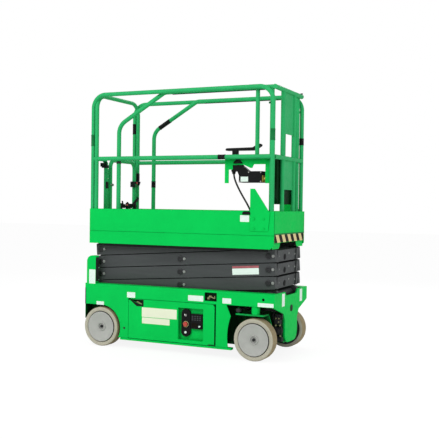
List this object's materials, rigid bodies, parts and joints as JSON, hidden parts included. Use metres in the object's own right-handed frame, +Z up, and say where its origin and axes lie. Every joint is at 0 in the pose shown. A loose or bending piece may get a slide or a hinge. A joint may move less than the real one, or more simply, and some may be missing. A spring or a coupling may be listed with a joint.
{
  "type": "electric scissor lift",
  "caption": "Self-propelled electric scissor lift with a roll-out platform deck, guard rails, swing-out side trays and steered front wheels.",
  "frame": {"origin": "on the floor, midway between the axles on the centre plane, at the bottom centre of the bounding box", "axes": "+X towards the steered front end, +Y to the left side, +Z up"},
  "size_m": [1.67, 0.78, 2.077],
  "materials": {
    "green_panel": "gloss",
    "green_tube": "satin",
    "arm_grey": "satin",
    "chrome_rod": "polished",
    "dark_iron": "matte",
    "battery_case": "matte",
    "black_plastic": "matte",
    "red_plastic": "gloss",
    "cable_rubber": "matte",
    "wheel_grey": "satin",
    "tyre": "matte"
  },
  "bodies": {
    "chassis": {"chassis_frame": "green_panel", "side_frame_right": "green_panel", "side_frame_left": "green_panel", "front_plate": "green_panel", "front_pivot_bracket": "arm_grey", "rear_post_right": "green_panel", "rear_post_left": "green_panel", "ladder": "green_tube"},
    "tray_right": {"tray_right": "dark_iron", "tray_door_right": "green_panel", "hydraulic_unit": "dark_iron", "ground_controls": "black_plastic", "ground_emergency_stop": "red_plastic"},
    "tray_left": {"tray_left": "dark_iron", "tray_door_left": "green_panel", "battery_pack": "battery_case"},
    "pothole_guard_right": {"pothole_guard_right": "green_panel"},
    "pothole_guard_left": {"pothole_guard_left": "green_panel"},
    "knuckle_right": {"knuckle_right": "green_panel", "drive_motor_right": "dark_iron"},
    "knuckle_left": {"knuckle_left": "green_panel", "drive_motor_left": "dark_iron"},
    "tie_rod": {"tie_rod": "dark_iron"},
    "lift_barrel": {"lift_cylinder_barrel": "arm_grey"},
    "lift_rod": {"lift_cylinder_rod": "chrome_rod"},
    "platform": {"platform_frame": "green_panel", "toe_board_right": "green_panel", "toe_board_left": "green_panel", "toe_board_rear": "green_panel", "guard_rail_right": "green_tube", "guard_rail_left": "green_tube", "rear_guard_rail": "green_tube", "gate_latch": "black_plastic"},
    "gate": {"gate": "green_tube"},
    "roll_out_deck": {"extension_deck": "green_panel", "extension_rail_right": "green_tube", "extension_rail_left": "green_tube", "extension_front_frame": "green_tube", "manual_box": "black_plastic", "control_bracket": "green_panel", "control_box": "black_plastic", "control_cable": "cable_rubber"},
    "wheel_front_right": {"rim_front_right": "wheel_grey", "tyre_front_right": "tyre"},
    "wheel_front_left": {"rim_front_left": "wheel_grey", "tyre_front_left": "tyre"},
    "wheel_rear_right": {"rim_rear_right": "wheel_grey", "tyre_rear_right": "tyre"},
    "wheel_rear_left": {"rim_rear_left": "wheel_grey", "tyre_rear_left": "tyre"},
    "inner_arms_1": {"inner_arms_1": "arm_grey"},
    "outer_arms_1": {"outer_arms_1": "arm_grey"},
    "inner_arms_2": {"inner_arms_2": "arm_grey"},
    "outer_arms_2": {"outer_arms_2": "arm_grey"},
    "inner_arms_3": {"inner_arms_3": "arm_grey"},
    "outer_arms_3": {"outer_arms_3": "arm_grey"},
    "inner_arms_4": {"inner_arms_4": "arm_grey"},
    "outer_arms_4": {"outer_arms_4": "arm_grey"}
  },
  "joints": [
    {"name": "lift", "type": "hinge", "parent": "chassis", "child": "inner_arms_1", "pos_m": [0.74826, 0, 0.48], "axis": [0, 1, 0], "range_deg": [0, 54.09]},
    {"name": "outer_1_pivot", "type": "hinge", "parent": "inner_arms_1", "child": "outer_arms_1", "pos_m": [0, 0, 0.531], "axis": [0, 1, 0], "range_deg": [-108.2, 0]},
    {"name": "outer_2_pivot", "type": "hinge", "parent": "inner_arms_1", "child": "outer_arms_2", "pos_m": [-0.74826, 0, 0.582], "axis": [0, 1, 0], "range_deg": [-108.2, 0]},
    {"name": "inner_2_pivot", "type": "hinge", "parent": "outer_arms_2", "child": "inner_arms_2", "pos_m": [0, 0, 0.633], "axis": [0, 1, 0], "range_deg": [0, 108.2]},
    {"name": "inner_3_pivot", "type": "hinge", "parent": "outer_arms_2", "child": "inner_arms_3", "pos_m": [0.74826, 0, 0.684], "axis": [0, 1, 0], "range_deg": [0, 108.2]},
    {"name": "outer_3_pivot", "type": "hinge", "parent": "inner_arms_3", "child": "outer_arms_3", "pos_m": [0, 0, 0.735], "axis": [0, 1, 0], "range_deg": [-108.2, 0]},
    {"name": "outer_4_pivot", "type": "hinge", "parent": "inner_arms_3", "child": "outer_arms_4", "pos_m": [-0.74826, 0, 0.786], "axis": [0, 1, 0], "range_deg": [-108.2, 0]},
    {"name": "inner_4_pivot", "type": "hinge", "parent": "outer_arms_4", "child": "inner_arms_4", "pos_m": [0, 0, 0.837], "axis": [0, 1, 0], "range_deg": [0, 108.2]},
    {"name": "platform_pivot", "type": "hinge", "parent": "outer_arms_4", "child": "platform", "pos_m": [0.74826, 0, 0.888], "axis": [0, 1, 0], "range_deg": [0, 54.11]},
    {"name": "barrel_pivot", "type": "hinge", "parent": "inner_arms_1", "child": "lift_barrel", "pos_m": [-0.59861, 0, 0.5718], "axis": [0, 1, 0], "range_deg": [-118.32, 0]},
    {"name": "rod_slide", "type": "slide", "parent": "lift_barrel", "child": "lift_rod", "axis": [0.9921, 0, 0.1256], "range_m": [0, 0.6892]},
    {"name": "pothole_guard_right_drop", "type": "slide", "parent": "chassis", "child": "pothole_guard_right", "axis": [0, 0, -1], "range_m": [0, 0.05]},
    {"name": "pothole_guard_left_drop", "type": "slide", "parent": "chassis", "child": "pothole_guard_left", "axis": [0, 0, -1], "range_m": [0, 0.05]},
    {"name": "steer_left", "type": "hinge", "parent": "chassis", "child": "knuckle_left", "pos_m": [0.673, 0.34, 0.16], "axis": [0, 0, 1], "range_deg": [-65, 65]},
    {"name": "steer_right", "type": "hinge", "parent": "chassis", "child": "knuckle_right", "pos_m": [0.673, -0.34, 0.16], "axis": [0, 0, 1], "range_deg": [-65, 65]},
    {"name": "tie_rod_pivot", "type": "hinge", "parent": "knuckle_left", "child": "tie_rod", "pos_m": [0.533, 0.34, 0.372], "axis": [0, 0, 1], "range_deg": [-65, 65]},
    {"name": "wheel_front_right_spin", "type": "hinge", "parent": "knuckle_right", "child": "wheel_front_right", "pos_m": [0.673, -0.34, 0.16], "axis": [0, 1, 0], "continuous": true},
    {"name": "wheel_front_left_spin", "type": "hinge", "parent": "knuckle_left", "child": "wheel_front_left", "pos_m": [0.673, 0.34, 0.16], "axis": [0, 1, 0], "continuous": true},
    {"name": "wheel_rear_right_spin", "type": "hinge", "parent": "chassis", "child": "wheel_rear_right", "pos_m": [-0.673, -0.34, 0.16], "axis": [0, 1, 0], "continuous": true},
    {"name": "wheel_rear_left_spin", "type": "hinge", "parent": "chassis", "child": "wheel_rear_left", "pos_m": [-0.673, 0.34, 0.16], "axis": [0, 1, 0], "continuous": true},
    {"name": "tray_right_swing", "type": "hinge", "parent": "chassis", "child": "tray_right", "pos_m": [0.325, -0.352, 0.24], "axis": [0, 0, 1], "range_deg": [0, 90]},
    {"name": "tray_left_swing", "type": "hinge", "parent": "chassis", "child": "tray_left", "pos_m": [0.325, 0.352, 0.24], "axis": [0, 0, -1], "range_deg": [0, 90]},
    {"name": "deck_roll_out", "type": "slide", "parent": "platform", "child": "roll_out_deck", "axis": [1, 0, 0], "range_m": [0, 0.9]},
    {"name": "gate_swing", "type": "hinge", "parent": "platform", "child": "gate", "pos_m": [-0.767, -0.16, 1.25], "axis": [0, 0, -1], "range_deg": [0, 90]}
  ],
  "couplings": [
    {"joint": "outer_1_pivot", "follows": "lift", "ratio": -2},
    {"joint": "outer_2_pivot", "follows": "lift", "ratio": -2},
    {"joint": "inner_2_pivot", "follows": "lift", "ratio": 2},
    {"joint": "inner_3_pivot", "follows": "lift", "ratio": 2},
    {"joint": "outer_3_pivot", "follows": "lift", "ratio": -2},
    {"joint": "outer_4_pivot", "follows": "lift", "ratio": -2},
    {"joint": "inner_4_pivot", "follows": "lift", "ratio": 2},
    {"joint": "platform_pivot", "follows": "lift", "ratio": 1},
    {"joint": "barrel_pivot", "follows": "lift", "ratio": -2.1865},
    {"joint": "rod_slide", "follows": "lift", "m_per_rad": 0.72954},
    {"joint": "pothole_guard_right_drop", "follows": "lift", "m_per_rad": 0.05},
    {"joint": "pothole_guard_left_drop", "follows": "lift", "m_per_rad": 0.05},
    {"joint": "steer_right", "follows": "steer_left", "ratio": 1},
    {"joint": "tie_rod_pivot", "follows": "steer_left", "ratio": -1}
  ]
}
